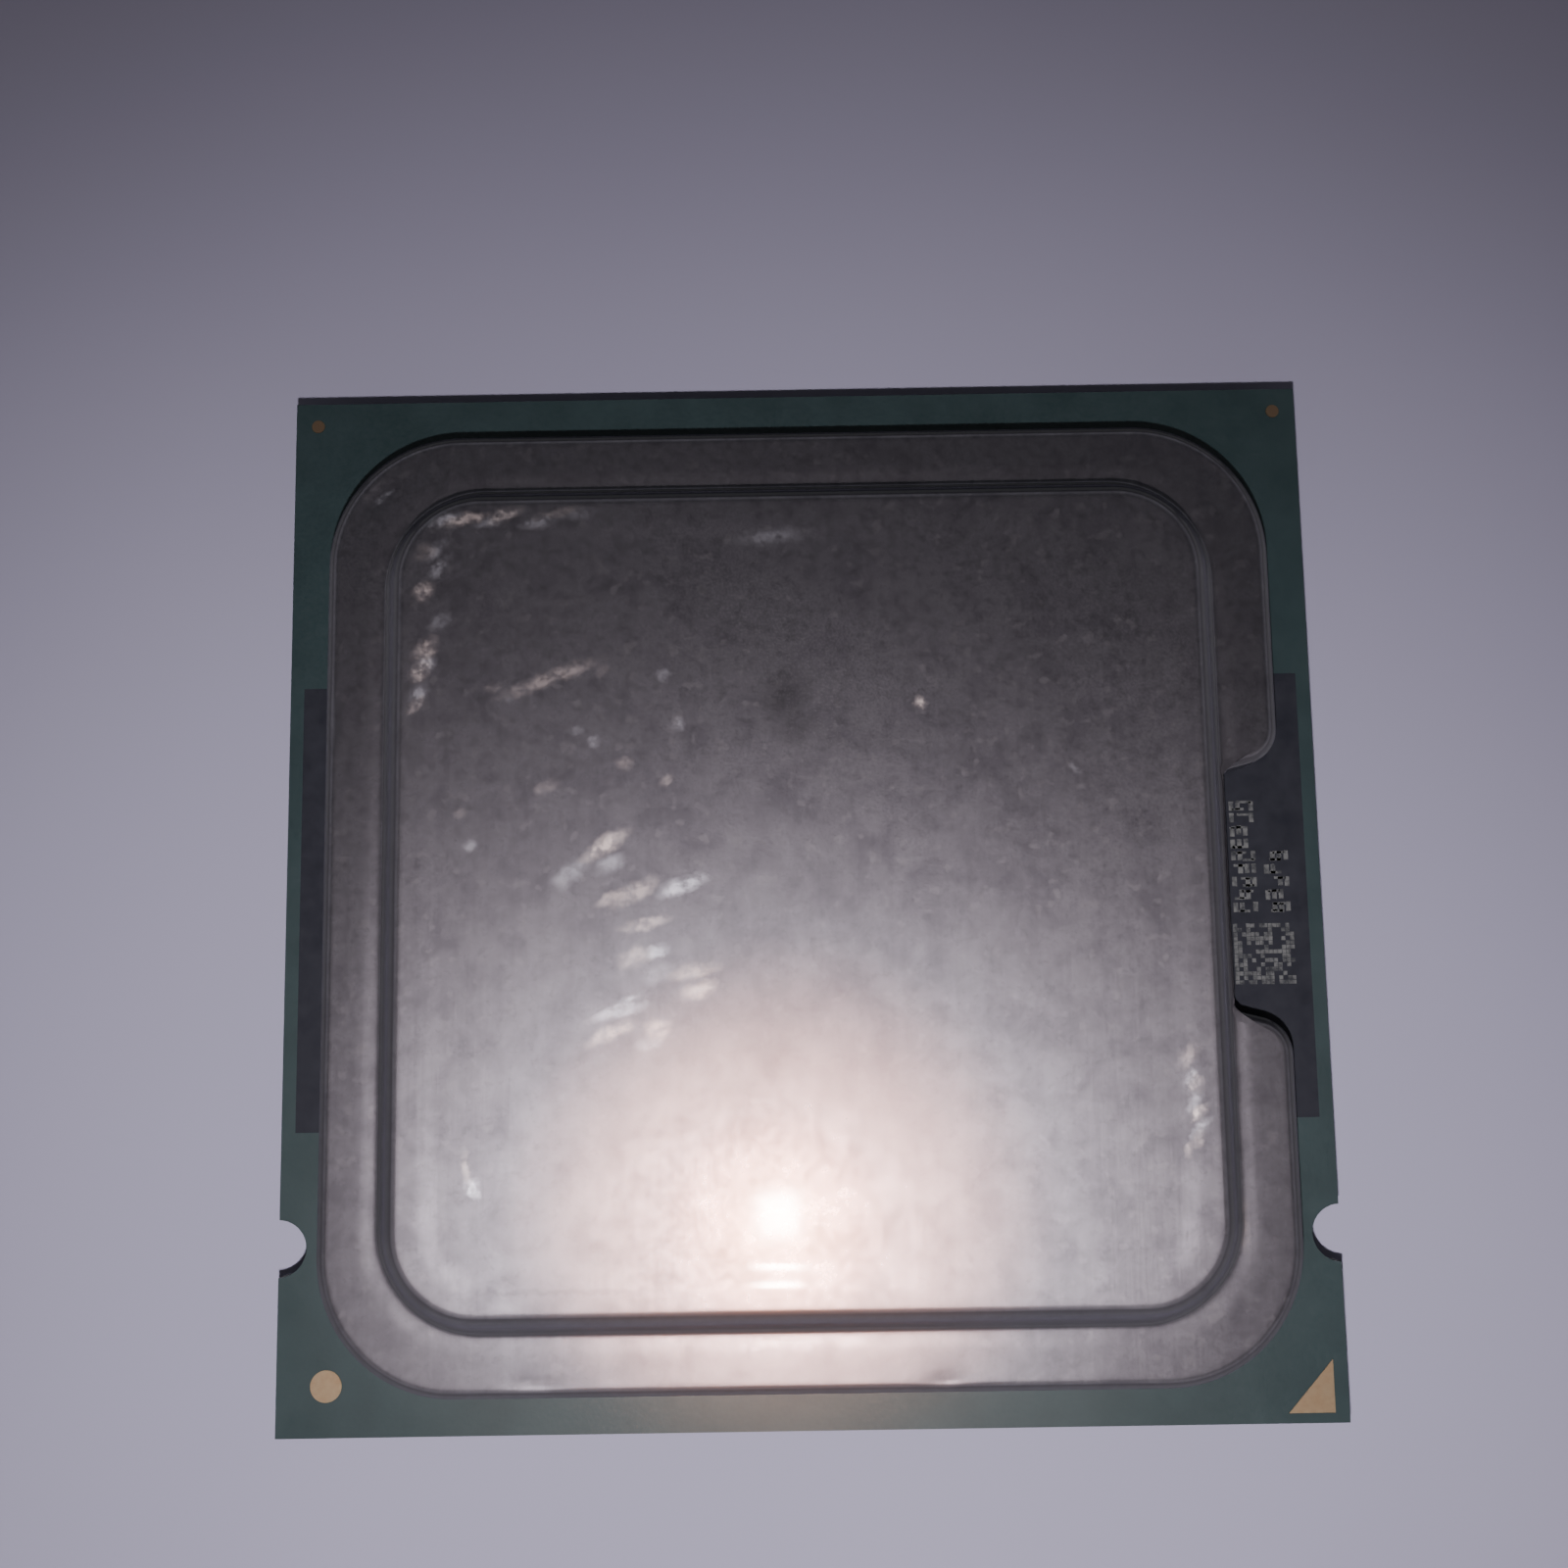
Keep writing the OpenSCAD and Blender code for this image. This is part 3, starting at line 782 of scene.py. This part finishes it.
def surroundings(zenith, horizon, power):
    """A room that is dark overhead, lighter down to the horizon, and darker towards +Y."""
    world = bpy.data.worlds.new("world")
    bpy.context.scene.world = world
    world.use_nodes = True
    n = Nodes(world.node_tree)
    _, y, z = n.xyz(n.new("ShaderNodeTexCoord").outputs["Generated"])
    low = n.math("POWER", n.math("SUBTRACT", 1, z, clamp=True), power)
    level = n.math("MULTIPLY_ADD", low, horizon - zenith, zenith)
    side = n.math("MULTIPLY_ADD", y, -0.35, 0.65)
    back = world.node_tree.nodes["Background"]
    n.join((0.93, 0.93, 1.0), back.inputs["Color"])
    n.join(n.math("MULTIPLY", level, side), back.inputs["Strength"])


def place_light(data, place, target, seen_in_gloss):
    light = in_scene(data.name, data)
    light.location = Vector(place) * MM
    light.rotation_mode = "QUATERNION"
    light.rotation_quaternion = (Vector(place) - Vector(target)).to_track_quat("Z", "Y")
    light.visible_glossy = seen_in_gloss
    return light


def area_light(name, place, target, size, power, colour):
    data = bpy.data.lights.new(name, "AREA")
    data.shape = "RECTANGLE"
    data.size, data.size_y = (side * MM for side in size)
    data.energy = power
    data.color = colour
    return place_light(data, place, target, True)


def reflected_card(name, place, size, radiance):
    """A large pale card that only shows in shiny surfaces seen from low down."""
    power = radiance * math.pi * size[0] * size[1] * MM * MM
    card = area_light(name, place, (0, 0, 0), size, power, WHITE)
    card.visible_diffuse = False
    card.visible_camera = False


def spot_light(name, place, target, width, power, colour, seen_in_gloss):
    """A soft-edged beam from the flash, seen either in shiny surfaces or on matt ones."""
    data = bpy.data.lights.new(name, "SPOT")
    data.shadow_soft_size = FLASH_SIZE / 2 * MM
    data.spot_size = math.radians(width)
    data.spot_blend = 1.0 if seen_in_gloss else 0.9
    data.energy = power
    data.color = colour
    beam = place_light(data, place, target, seen_in_gloss)
    beam.visible_diffuse = not seen_in_gloss


make_floor()
surroundings(0.02, 0.6, 2.6)
for name, x, y in (("back", 0, 1), ("left", -1, 0), ("right", 1, 0), ("front", 0, -1)):
    reflected_card("card_" + name, (CARD_AWAY * x, CARD_AWAY * y, CARD_Z), CARD_SIZE, CARD_RADIANCE)
aim = FLASH + Vector((0, -0.12, -1))
area_light("flash", FLASH, aim, (FLASH_SIZE, FLASH_SIZE), 0.0132, (1.0, 0.90, 0.88))
spot_light("flash_beam", FLASH, aim, 106, 0.125, (0.96, 0.96, 1.0), False)
spot_light("warm_glow", FLASH, (*GLINT, LID_HI.z), 16.8, 0.055, (1.0, 0.39, 0.15), True)
